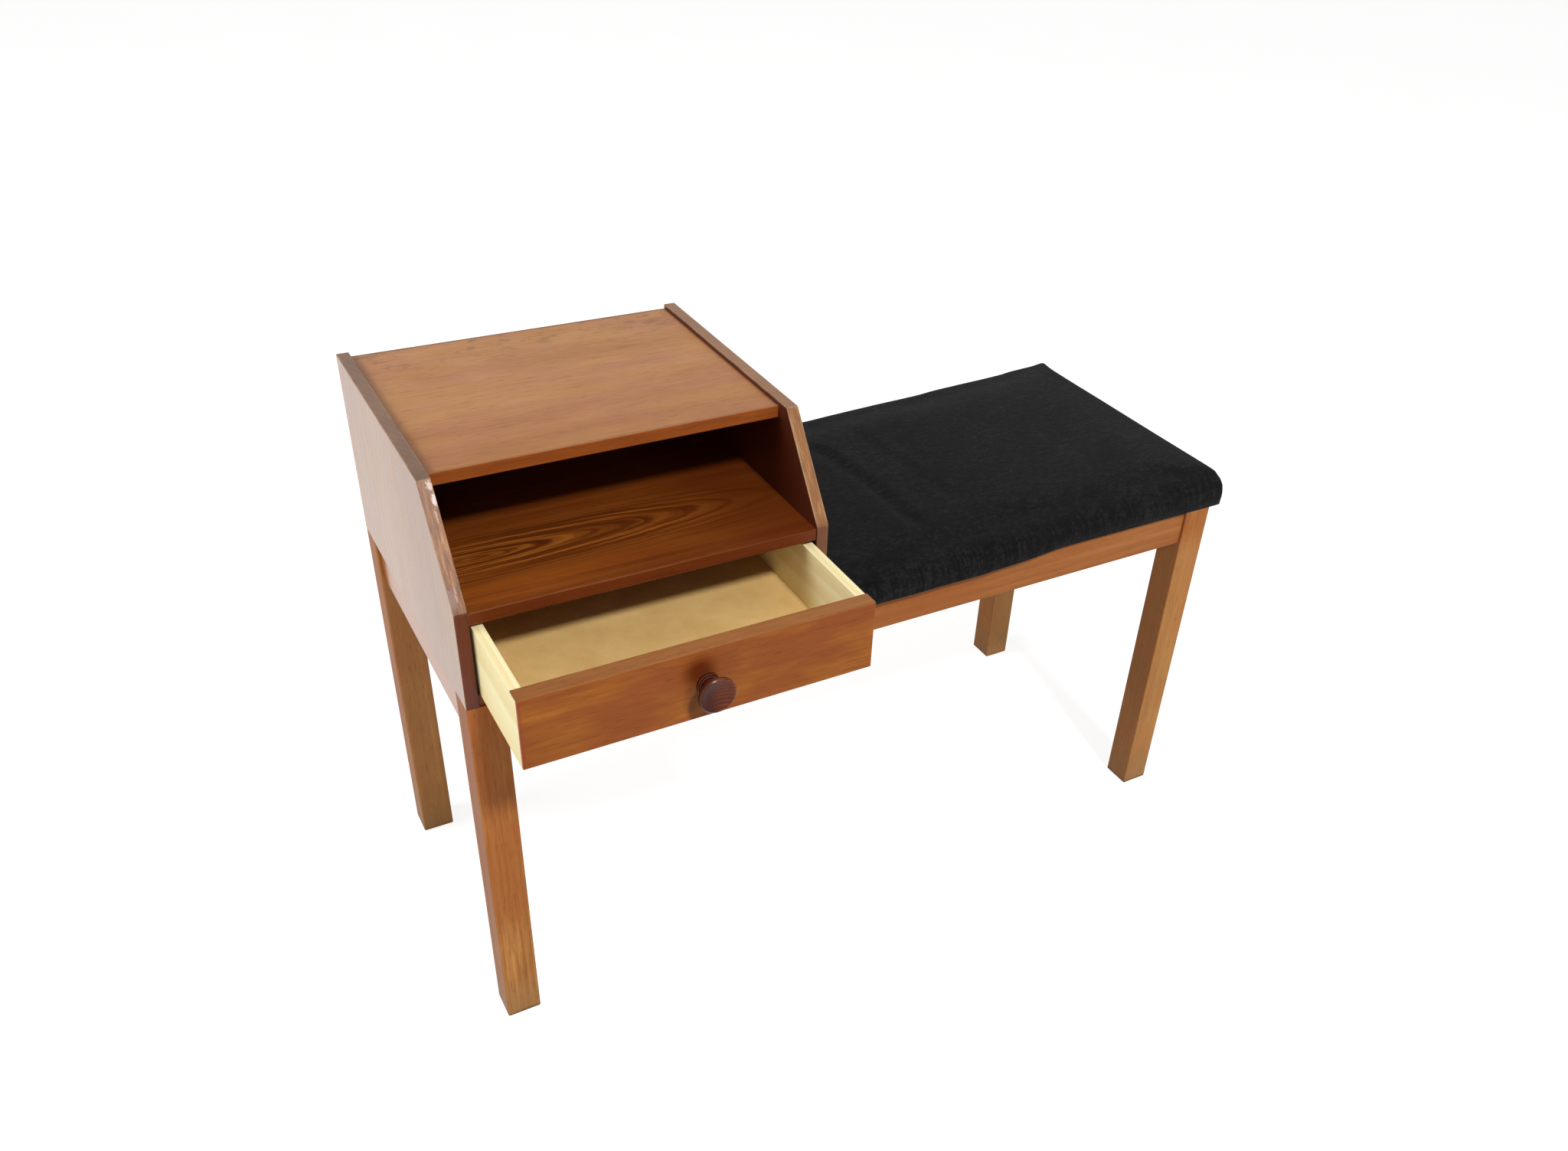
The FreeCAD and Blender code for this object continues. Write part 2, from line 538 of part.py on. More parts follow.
def seat_board():
    """Plywood under the padding, on the leg frame, with rounded corners and pilot holes."""
    body = new_body("seat_board", "seat_x + seat_wrap", "seat_y + seat_wrap", "leg_height")
    board = board_of(body, "board", "seat_length - 2 * seat_wrap", "seat_depth - 2 * seat_wrap",
                     "seat_board_thickness")
    soften(body, "corners", "Fillet", board, lambda a, b: same(a.x, b.x) and same(a.y, b.y), "seat_board_corner")
    for number, (x, y) in enumerate(SEAT_SCREWS, 1):
        add(body, "SubtractiveCylinder", f"pilot_{number}",
            x=f"{x} - cabinet_width - seat_cabinet_gap - seat_wrap", y=f"{y} + seat_front_overhang - seat_wrap",
            Radius="frame_screw_hole", Height="frame_screw_pilot")
    return body


def quarter(centre_y, centre_z, radius, turn, x):
    """Quarter round in an upright plane across the bench, starting at an angle given in quarter turns."""
    spots = []
    for step in (0, 0.5, 1):
        angle = math.pi / 2 * (turn + step)
        spots.append(FreeCAD.Vector(x, centre_y + radius * math.cos(angle), centre_z + radius * math.sin(angle)))
    return Part.Arc(*spots)


def cushion_section(x, inset, drop, swell):
    """Section of the cushion across the bench: flat base, rolled edges, crowned top."""
    edge = size("seat_edge_radius")
    hem = size("seat_hem_radius")
    top = size("seat_solid_height") - drop
    crown = size("seat_end_crown") + (size("seat_crown") - size("seat_end_crown")) * swell
    front = inset
    rear = size("seat_depth") - inset
    curves = [
        Part.LineSegment(FreeCAD.Vector(x, front + hem, 0), FreeCAD.Vector(x, rear - hem, 0)),
        quarter(rear - hem, hem, hem, 3, x),
        Part.LineSegment(FreeCAD.Vector(x, rear, hem), FreeCAD.Vector(x, rear, top - edge)),
        quarter(rear - edge, top - edge, edge, 0, x),
        Part.Arc(FreeCAD.Vector(x, rear - edge, top), FreeCAD.Vector(x, (front + rear) / 2, top + crown),
                 FreeCAD.Vector(x, front + edge, top)),
        quarter(front + edge, top - edge, edge, 1, x),
        Part.LineSegment(FreeCAD.Vector(x, front, top - edge), FreeCAD.Vector(x, front, hem)),
        quarter(front + hem, hem, hem, 2, x),
    ]
    return Part.Wire([curve.toShape() for curve in curves])


def seat_cushion():
    """Padded seat: crowned, drawn in between its corners, rolled at both ends, hollow below for the plywood."""
    length = size("seat_length")
    depth = size("seat_depth")
    edge = size("seat_edge_radius")
    roll = []
    for degrees in (0, 30, 60):
        angle = math.radians(degrees)
        roll.append((edge * (1 - math.cos(angle)), edge * (1 - math.sin(angle))))
    sections = [cushion_section(x, inset, inset, 0) for x, inset in roll]
    for step in range(9):
        share = step / 8
        swell = 4 * share * (1 - share)
        sections.append(cushion_section(edge + (length - 2 * edge) * share, size("seat_draw_in") * swell, 0, swell))
    sections += [cushion_section(length - x, inset, inset, 0) for x, inset in reversed(roll)]
    form = Part.makeLoft(sections, True, True)
    wrap = size("seat_wrap") - size("seat_play")
    hollow = Part.makeBox(length - 2 * wrap, depth - 2 * wrap, size("seat_board_thickness"),
                          FreeCAD.Vector(wrap, wrap, 0))
    upright = [side for side in hollow.Edges if same(side.BoundBox.ZLength, size("seat_board_thickness"))]
    hollow = hollow.makeFillet(size("seat_board_corner"), upright)
    item = doc.addObject("Part::Feature", "seat_cushion")
    item.Label = "seat_cushion"
    item.Shape = form.cut(hollow)
    place = FreeCAD.Vector(size("seat_x"), size("seat_y"), size("leg_height") + size("seat_play"))
    item.Placement = FreeCAD.Placement(place, FreeCAD.Rotation())
    return item


# Fasteners

def knob_screw():
    """Screw from inside the drawer, through its front, into the knob."""
    body = new_body("knob_screw", "knob_x", "drawer_y + drawer_front_thickness + knob_screw_head_height", "knob_z",
                    FreeCAD.Rotation(FreeCAD.Vector(1, 0, 0), 90))
    revolve(body, outline(body, "section", "XZ_Plane",
                          [("zero", "zero"), ("knob_screw_head_radius", "zero"),
                           ("knob_screw_head_radius", "knob_screw_head_height"),
                           ("knob_screw_radius", "knob_screw_head_height"),
                           ("knob_screw_radius", "knob_screw_length"), ("zero", "knob_screw_length")]))
    return body


def frame_screws():
    """Countersunk screws up through the braces and the middle rail, as copies of one turned screw."""
    body = new_body("screw_pattern", "zero", "zero", "zero")
    turned = revolve(body, outline(body, "section", "XZ_Plane",
                                   [("zero", "zero"), ("frame_screw_head_radius", "zero"),
                                    ("frame_screw_radius", "frame_screw_head_height"),
                                    ("frame_screw_radius", "frame_screw_length"), ("zero", "frame_screw_length")]))
    item = doc.addObject("Part::Feature", "frame_screws")
    item.Label = "frame_screws"
    item.Shape = Part.makeCompound([turned.Shape.translated(FreeCAD.Vector(size(x), size(y), 0))
                                    for x, y in CABINET_SCREWS + SEAT_SCREWS])
    place = FreeCAD.Vector(size("left_x"), size("front_y"), size("support_z"))
    item.Placement = FreeCAD.Placement(place, FreeCAD.Rotation())
    return item


def build():
    """Makes every sub-part."""
    parts = []
    for side, right in (("left", False), ("right", True)):
        for place, rear in (("front", False), ("rear", True)):
            parts.append(leg(f"leg_{place}_{side}", right, rear))
            parts.append(corner_brace(f"corner_brace_{place}_{side}", right, rear))
        parts.append(end_rail(f"end_rail_{side}", right))
        parts.append(side_panel(f"side_panel_{side}", right))
        parts.append(drawer_side(f"drawer_side_{side}", right))
    parts.append(apron("apron_front", False))
    parts.append(apron("apron_rear", True))
    parts.append(cabinet_board("top_board", "top_board_z", "top_board_set_back", "top_board_depth"))
    parts.append(cabinet_board("shelf", "shelf_z", "shelf_set_back", "board_depth"))
    for make in (middle_rail, cabinet_bottom, cabinet_back, drawer_front, drawer_back, drawer_bottom, knob,
                 seat_board, seat_cushion, knob_screw, frame_screws):
        parts.append(make())
    return parts


def write_out(parts):
    """Checks every sub-part and writes it to its own STEP file."""
    doc.recompute()
    broken = [item.Name for item in doc.Objects if "Invalid" in item.State or "Error" in item.State]
    if broken:
        raise RuntimeError(f"features that failed: {broken}")
    for item in parts:
        if item.Shape.isNull() or not item.Shape.isValid():
            raise RuntimeError(f"{item.Label} has no valid shape")
        item.Shape.exportStep(f"parts/{item.Label}.step")


os.makedirs("parts", exist_ok=True)
fill_sheet()
write_out(build())
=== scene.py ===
"""Telephone bench: finishes, the padded seat and the studio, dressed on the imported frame.

Metres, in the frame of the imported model: X from the cabinet to the seat, Y from front to back, Z up.
"""
import math

import bmesh
import bpy
from mathutils import Euler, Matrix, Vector, noise


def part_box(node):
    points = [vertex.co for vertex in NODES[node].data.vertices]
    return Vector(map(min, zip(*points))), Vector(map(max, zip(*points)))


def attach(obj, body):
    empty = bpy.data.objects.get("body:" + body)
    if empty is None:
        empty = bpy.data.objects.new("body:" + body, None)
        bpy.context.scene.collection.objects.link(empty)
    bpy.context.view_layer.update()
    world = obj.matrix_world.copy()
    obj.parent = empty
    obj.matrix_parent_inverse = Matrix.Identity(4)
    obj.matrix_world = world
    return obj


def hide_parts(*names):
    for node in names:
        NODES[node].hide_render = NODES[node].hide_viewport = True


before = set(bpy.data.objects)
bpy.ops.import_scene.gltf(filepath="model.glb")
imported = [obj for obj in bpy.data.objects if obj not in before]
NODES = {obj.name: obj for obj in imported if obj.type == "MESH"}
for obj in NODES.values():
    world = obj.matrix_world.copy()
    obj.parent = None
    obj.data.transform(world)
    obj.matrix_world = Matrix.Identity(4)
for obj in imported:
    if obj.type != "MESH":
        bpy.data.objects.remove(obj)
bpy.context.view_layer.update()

# Photograph: its size in pixels, and what a camera fitted to the bench's corners gives
PHOTO_WIDTH = 2048
PHOTO_HEIGHT = 1503
PHOTO_CENTRE = (1083.3, 849.0)
FOCAL_PIXELS = 1725.7
CAMERA_PLACE = (-0.6316, -1.0126, 1.1114)
CAMERA_TURN = (54.484, -2.814, -29.546)
SENSOR_WIDTH = 36.0

# Seat cushion: heights over its underside, and how far the cloth run may go
SEAT_LOW, SEAT_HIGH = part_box("seat_cushion")
PLY_LOW, PLY_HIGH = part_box("seat_board")
SEAT_GRID = 0.004
SEAT_SKIRT = 0.012
SEAT_TOP_LEFT = 0.0216
SEAT_TOP_RIGHT = 0.0378
SEAT_CROWN = 0.0015
SEAT_FRONT_ROUND = 0.030
SEAT_FRONT_FALL = 0.7
SEAT_SIDE_ROUND = 0.008
SEAT_DRAW_IN = 0.001
SEAT_VOXEL = 0.005
SEAT_SWELL = 0.005
SEAT_RIM = 0.075
SEAT_RIM_SHARE = 0.12
SEAT_PRESSURE = 4.0
SEAT_FRAMES = 20
SEAT_HELD = 0.006
SEAT_OVERHANG = 0.003
SEAT_DROOP = 0.0030
SEAT_TUCK = 0.003
SEAT_EAR = 0.0022
SEAT_EAR_WIDTH = 0.013
SEAT_TOP_FROM = 0.018
SEAT_UNEVEN = 0.0008
SEAT_RIPPLE = 0.0007
SEAT_SOFTENED = 3
HEM = 0.0014
CLEAR = 0.0004
FLATTENED = 0.02
APRON_FACE = -0.1068


def linear(level):
    """A colour level of 0 to 255 as a share of full light."""
    share = level / 255
    return share / 12.92 if share <= 0.04045 else ((share + 0.055) / 1.055) ** 2.4


def tone(red, green, blue):
    """A colour given as it looks on a screen, 0 to 255, ready for a shader."""
    return (linear(red), linear(green), linear(blue), 1.0)


class Finish:
    """A procedural material. Each short call adds nodes and gives back the socket to go on with."""

    def __init__(self, name):
        self.material = bpy.data.materials.new(name)
        self.material.use_nodes = True
        self.tree = self.material.node_tree
        self.tree.nodes.clear()
        self.place = self.add("TexCoord").outputs["Object"]
        self.facing = self.add("NewGeometry").outputs["Normal"]

    def add(self, kind, inputs=None, **settings):
        """A node of this kind with its settings, and its inputs linked or set by name or number."""
        node = self.tree.nodes.new(f"ShaderNode{kind}")
        for name, value in settings.items():
            setattr(node, name, value)
        for name, value in (inputs or {}).items():
            self.put(node.inputs[name], value)
        return node

    def put(self, socket, value):
        """Links a socket to an input, or sets the input's own value."""
        if isinstance(value, bpy.types.NodeSocket):
            self.tree.links.new(value, socket)
        else:
            socket.default_value = value

    def calc(self, operation, *values, clamp=False):
        node = self.add("Math", dict(enumerate(values)), operation=operation, use_clamp=clamp)
        return node.outputs[0]

    def times(self, first, second):
        return self.calc("MULTIPLY", first, second)

    def plus(self, first, second, clamp=False):
        return self.calc("ADD", first, second, clamp=clamp)

    def minus(self, first, second):
        return self.calc("SUBTRACT", first, second)

    def parts(self, vector):
        """The three parts of a vector."""
        return self.add("SeparateXYZ", {0: vector}).outputs[:3]

    def vector(self, x, y, z):
        return self.add("CombineXYZ", {0: x, 1: y, 2: z}).outputs[0]

    def scaled(self, vector, x, y, z):
        """The vector with each part stretched on its own."""
        return self.add("VectorMath", {0: vector, 1: (x, y, z)}, operation="MULTIPLY").outputs[0]

    def noise(self, vector, scale=1.0, detail=2.0, roughness=0.5, distortion=0.0):
        node = self.add("TexNoise", {"Vector": vector, "Scale": scale, "Detail": detail, "Roughness": roughness,
                                     "Distortion": distortion})
        return node.outputs[0]

    def rise(self, value, low, high):
        """0 below low, 1 above high, smooth between; low above high turns it round."""
        node = self.add("MapRange", {"Value": value, "From Min": low, "From Max": high},
                        interpolation_type="SMOOTHSTEP")
        return node.outputs["Result"]

    def within(self, value, low, high, soft):
        """1 between two limits, fading over a soft margin outside them."""
        return self.times(self.rise(value, low - soft, low), self.rise(value, high + soft, high))

    def mix(self, share, first, second, blend="MIX"):
        node = self.add("Mix", {0: share, 6: first, 7: second}, data_type="RGBA", blend_type=blend)
        return node.outputs[2]

    def stain(self, colour, place, strength, other):
        """The colour with some of another laid over it in this place."""
        return self.mix(self.times(place, strength), colour, other)

    def away_from(self, x, y, z, stretch=(1.0, 1.0, 1.0)):
        """Distance from a spot, each axis stretched on its own."""
        offset = self.add("VectorMath", {0: self.place, 1: (x, y, z)}, operation="SUBTRACT").outputs[0]
        offset = self.scaled(offset, *stretch)
        return self.add("VectorMath", {0: offset}, operation="LENGTH").outputs["Value"]

    def ramp(self, share, *stops):
        """A colour for a share, through stops of (share, colour)."""
        node = self.add("ValToRGB", {0: share})
        bar = node.color_ramp
        while len(bar.elements) < len(stops):
            bar.elements.new(1.0)
        for element, (position, colour) in zip(bar.elements, stops):
            element.position = position
            element.color = colour
        return node.outputs[0]

    def bump(self, height, distance, base=None):
        inputs = {"Height": height, "Distance": distance, "Strength": 1.0}
        if base is not None:
            inputs["Normal"] = base
        return self.add("Bump", inputs).outputs[0]

    def round_edges(self, radius):
        """Normals that turn smoothly over the edges, as on sanded wood."""
        return self.add("Bevel", {"Radius": radius}, samples=4).outputs[0]

    def edges(self, radius):
        """1 along sharp outer edges, 0 on flat faces."""
        turned = self.add("VectorMath", {0: self.round_edges(radius), 1: self.facing}, operation="DOT_PRODUCT")
        return self.rise(turned.outputs["Value"], 0.995, 0.86)

    def shade(self, colour, roughness, normal=None, **constants):
        """The surface itself; constants are Principled inputs with spaces as underscores."""
        inputs = {"Base Color": colour, "Roughness": roughness}
        if normal is not None:
            inputs["Normal"] = normal
        inputs.update({name.replace("_", " "): value for name, value in constants.items()})
        surface = self.add("BsdfPrincipled", inputs)
        self.add("OutputMaterial", {"Surface": surface.outputs[0]})
        return self.material


class Wood(Finish):
    """Wood whose grain runs along one axis: growth rings about a tilted pith, streaks, fibres and pores."""

    def __init__(self, name, along, pith=(0.0, 0.0), tilt=0.0, ring=0.004, wander=0.012):
        super().__init__(name)
        x, y, z = self.parts(self.place)
        self.x, self.y, self.z = x, y, z
        self.along, across, through = {"X": (x, y, z), "Y": (y, x, z), "Z": (z, x, y)}[along]
        self.grain = self.vector(self.along, across, through)
        wobble = self.noise(self.scaled(self.grain, 3.0, 14.0, 14.0), detail=3.0)
        wobble = self.times(self.minus(wobble, 0.5), wander)
        side = self.plus(self.minus(across, pith[0]), wobble)
        depth = self.plus(self.minus(through, pith[1]), wobble)
        depth = self.plus(depth, self.times(self.along, tilt))
        reach = self.calc("SQRT", self.plus(self.calc("POWER", side, 2.0), self.calc("POWER", depth, 2.0)))
        turn = self.calc("FRACT", self.calc("DIVIDE", reach, ring))
        self.reach = reach
        self.rings = self.times(self.rise(turn, 0.15, 0.85), self.rise(turn, 1.0, 0.9))
        self.streak = self.noise(self.scaled(self.grain, 1.6, 55.0, 55.0), detail=4.0, roughness=0.6)
        self.fibre = self.noise(self.scaled(self.grain, 22.0, 900.0, 900.0), detail=3.0, roughness=0.6)
        self.broad = self.noise(self.scaled(self.grain, 1.3, 7.0, 7.0), detail=2.0)
        self.mottle = self.noise(self.scaled(self.grain, 14.0, 34.0, 34.0), detail=3.0)
        self.fleck = self.noise(self.scaled(self.grain, 26.0, 330.0, 330.0), detail=3.0, roughness=0.6)
        self.drift = self.noise(self.scaled(self.grain, 8.0, 27.0, 27.0), detail=3.0, roughness=0.55)
        pore = self.noise(self.scaled(self.grain, 70.0, 1500.0, 1500.0), detail=1.0)
        self.pores = self.rise(pore, 0.62, 0.72)

    def blend_of(self, rings=0.3, streak=0.4, fibre=0.15, broad=0.3, mottle=0.0, fleck=0.0):
        """The grain's marks in one value about 0.5, each with its own weight."""
        total = 0.5
        for mark, weight in ((self.rings, rings), (self.streak, streak), (self.fibre, fibre),
                             (self.broad, broad), (self.mottle, mottle), (self.fleck, fleck)):
            if weight:
                middle = 0.35 if mark is self.rings else 0.5
                total = self.plus(total, self.times(self.minus(mark, middle), weight))
        return self.plus(total, 0.0, clamp=True)

    def drifted(self, colour, other, weight=0.6):
        """The colour, drifting to another in soft patches along the grain."""
        return self.stain(colour, self.rise(self.drift, 0.40, 0.62), weight, other)

    def faces(self, axis):
        """1 on faces that look along this axis either way, 0 on the others."""
        share = self.calc("ABSOLUTE", self.parts(self.facing)["XYZ".index(axis)])
        return self.rise(share, 0.6, 0.8)

    def finish(self, colour, rough=0.42, edge=0.0008, pores=0.35, depth=0.00006, **constants):
        """Pores darken the colour, fibres and pores give the bump, and edges are eased."""
        colour = self.stain(colour, self.pores, pores, tone(45, 20, 8))
        height = self.minus(self.fibre, self.times(self.pores, 0.7))
        normal = self.bump(height, depth, self.round_edges(edge))
        roughness = self.plus(self.times(self.minus(self.fibre, 0.5), 0.16), rough)
        constants.setdefault("Specular_IOR_Level", 0.14)
        return self.shade(colour, roughness, normal, **constants)


def dress(node, material):
    """Gives a carried-over CAD node its finish."""
    slots = NODES[node].data.materials
    slots.clear()
    slots.append(material)


def leg_teak():
    """Legs: golden brown, redder and darker towards the top as painted shade, greyer and scuffed at the foot,
    with painted shade on left faces and painted light on the rear legs' fronts.
    """
    wood = Wood("leg_teak", "Z", pith=(0.3, -0.4), ring=0.006)
    share = wood.blend_of(rings=0.1, streak=0.6, fibre=0.25, broad=0.5, mottle=0.2, fleck=0.45)
    colour = wood.ramp(share, (0.2, tone(128, 74, 30)), (0.5, tone(174, 114, 56)), (0.8, tone(206, 146, 82)))
    colour = wood.drifted(colour, tone(162, 88, 38))
    # Painted shade: redder and darker towards the top, where the cabinet and the open drawer above shade the
    # legs.
    high = wood.rise(wood.z, 0.16, 0.38)
    colour = wood.stain(colour, high, 0.5, tone(172, 96, 44))
    right = wood.times(wood.rise(wood.x, 0.3, 0.4), wood.rise(wood.z, 0.385, 0.34))
    colour = wood.stain(colour, right, 0.35, tone(206, 156, 92))
    foot = wood.rise(wood.plus(wood.z, wood.times(wood.mottle, 0.03)), 0.085, 0.02)
    colour = wood.stain(colour, foot, 0.6, tone(158, 120, 74))
    sole = wood.rise(wood.plus(wood.z, wood.times(wood.mottle, 0.006)), 0.010, 0.003)
    colour = wood.stain(colour, sole, 0.6, tone(70, 46, 26))
    # Painted shade: faces that look to the left are darkened.
    left = wood.rise(wood.parts(wood.facing)[0], -0.6, -0.8)
    colour = wood.stain(colour, left, 0.45, tone(112, 62, 26))
    # Painted light: the rear legs' front faces are lightened.
    rear = wood.times(wood.rise(wood.y, 0.1, 0.2), wood.rise(wood.parts(wood.facing)[1], -0.6, -0.8))
    colour = wood.stain(colour, rear, 0.4, tone(222, 164, 104))
    wear = wood.times(wood.edges(0.002), wood.rise(wood.mottle, 0.42, 0.66))
    colour = wood.stain(colour, wear, 0.6, tone(206, 160, 112))
    return wood.finish(colour, rough=0.5, edge=0.0012)


def apron_teak(name, along, gloss=False):
    """Aprons and end rails: the legs' wood, with its grain along the rail; glossy under the glossy panel."""
    wood = Wood(name, along, pith=(0.25, 0.2), ring=0.006)
    share = wood.blend_of(rings=0.1, streak=0.5, fibre=0.25, broad=0.5, fleck=0.3)
    colour = wood.ramp(share, (0.2, tone(138, 76, 34)), (0.5, tone(164, 100, 48)), (0.8, tone(186, 120, 66)))
    colour = wood.drifted(colour, tone(160, 90, 40))
    if gloss:
        return wood.finish(colour, rough=0.2, depth=0.000006, Specular_IOR_Level=0.35)
    return wood.finish(colour, rough=0.45)


def top_teak():
    """Top board: golden rosy brown, flecked, darker along its borders, with painted shade beside the panels,
    its front edge orange brown.
    """
    wood = Wood("top_teak", "X", pith=(0.1, 0.2), ring=0.005)
    share = wood.blend_of(rings=0.0, streak=0.3, fibre=0.3, broad=0.3, mottle=0.25, fleck=0.3)
    golden = wood.ramp(share, (0.2, tone(144, 90, 48)), (0.5, tone(175, 123, 76)), (0.8, tone(194, 144, 97)))
    rosy = wood.ramp(share, (0.2, tone(138, 84, 53)), (0.5, tone(170, 116, 81)), (0.8, tone(190, 139, 105)))
    colour = wood.mix(wood.rise(wood.drift, 0.36, 0.66), golden, rosy)
    colour = wood.stain(colour, wood.rise(wood.y, 0.06, -0.02), 0.35, tone(154, 100, 60))
    dark = wood.rise(wood.fleck, 0.38, 0.28)
    colour = wood.stain(colour, dark, 0.3, tone(132, 80, 48))
    smudge = wood.noise(wood.scaled(wood.place, 70.0, 110.0, 1.0), detail=3.0)
    smudge = wood.times(wood.rise(smudge, 0.52, 0.66), wood.rise(wood.y, 0.15, 0.22))
    colour = wood.stain(colour, smudge, 0.4, tone(112, 84, 56))
    # Darker borders: beside the two side panels this is painted shade of their raised edges; the rear and front
    # edges are darkened too.
    margin = wood.calc("MAXIMUM", wood.rise(wood.x, -0.4110, -0.4212), wood.rise(wood.y, 0.2315, 0.2355))
    margin = wood.calc("MAXIMUM", margin, wood.rise(wood.x, -0.0990, -0.0958))
    margin = wood.calc("MAXIMUM", margin, wood.times(wood.rise(wood.y, -0.0190, -0.0232), 0.6))
    colour = wood.stain(colour, margin, 0.55, tone(104, 66, 46))
    edge = wood.ramp(share, (0.2, tone(108, 46, 12)), (0.8, tone(172, 92, 32)))
    colour = wood.mix(wood.faces("Z"), edge, colour)
    return wood.finish(colour, rough=0.45)


def shelf_teak():
    """Shelf: a soft flame figure of uneven nested arcs, warmer streaks in front, painted shade over the cubby's
    rear and right, a dark worn front edge.
    """
    wood = Wood("shelf_teak", "X", pith=(-0.0225, 0.4480), tilt=0.115, wander=0.005)
    jag = wood.noise(wood.scaled(wood.place, 60.0, 110.0, 1.0), detail=1.0)
    run = wood.plus(wood.times(wood.reach, 400.0), wood.times(jag, 0.8))
    lines = wood.rise(wood.noise(wood.vector(run, wood.times(wood.along, 5.0), 3.0), detail=2.5), 0.36, 0.64)
    near = wood.rise(wood.calc("ABSOLUTE", wood.plus(wood.y, 0.0225)), 0.045, 0.012)
    near = wood.times(near, wood.rise(wood.x, -0.10, -0.22))
    weight = wood.plus(wood.times(near, 0.52), 0.10)
    lines = wood.times(wood.minus(lines, 0.5), weight)
    share = wood.plus(wood.blend_of(rings=0.0, streak=0.4, fibre=0.2, broad=0.5, fleck=0.15), lines, clamp=True)
    colour = wood.ramp(share, (0.1, tone(64, 28, 8)), (0.45, tone(114, 56, 15)), (0.9, tone(166, 96, 34)))
    warm = wood.times(wood.rise(wood.y, -0.040, -0.095), wood.rise(wood.x, -0.10, -0.36))
    gold = wood.rise(wood.streak, 0.44, 0.60)
    colour = wood.stain(colour, wood.times(warm, gold), 0.45, tone(168, 84, 22))
    # Painted shade in the cubby: darker red over the rear and the right part; the same darker red also lies
    # over the left front.
    red = wood.calc("MAXIMUM", wood.rise(wood.x, -0.28, -0.13), wood.times(wood.rise(wood.y, 0.0, 0.06), 0.6))
    front = wood.times(wood.rise(wood.y, -0.045, -0.085), wood.rise(wood.x, -0.36, -0.24))
    red = wood.calc("MAXIMUM", red, wood.times(front, 0.7))
    rear = wood.times(wood.rise(wood.y, 0.02, 0.07), wood.rise(wood.x, -0.34, -0.40))
    red = wood.calc("MAXIMUM", red, rear)
    colour = wood.stain(colour, red, 0.70, tone(80, 27, 4))
    edge = wood.ramp(share, (0.2, tone(84, 32, 10)), (0.8, tone(128, 62, 22)))
    arris = wood.times(wood.edges(0.0016), wood.rise(wood.mottle, 0.44, 0.62))
    edge = wood.stain(edge, arris, 0.6, tone(200, 140, 110))
    colour = wood.mix(wood.faces("Z"), edge, colour)
    return wood.finish(colour, rough=0.45)


def bottom_teak():
    """Cabinet bottom, under the drawer."""
    wood = Wood("bottom_teak", "X", pith=(0.1, 0.2), ring=0.005)
    share = wood.blend_of(rings=0.2)
    colour = wood.ramp(share, (0.2, tone(96, 44, 18)), (0.8, tone(150, 84, 40)))
    return wood.finish(colour)


# Worn places on the left panel's sloped edge: x, z, half width, half height, colour
CHIPS = [
    (-0.4242, 0.5845, 0.0028, 0.0036, (214, 192, 178)),
    (-0.4262, 0.5800, 0.0014, 0.0030, (120, 78, 50)),
    (-0.4232, 0.5745, 0.0020, 0.0046, (228, 212, 206)),
    (-0.4250, 0.5640, 0.0010, 0.0050, (190, 150, 116)),
    (-0.4305, 0.5080, 0.0026, 0.0080, (136, 102, 92)),
    (-0.4270, 0.5120, 0.0010, 0.0070, (176, 142, 120)),
]


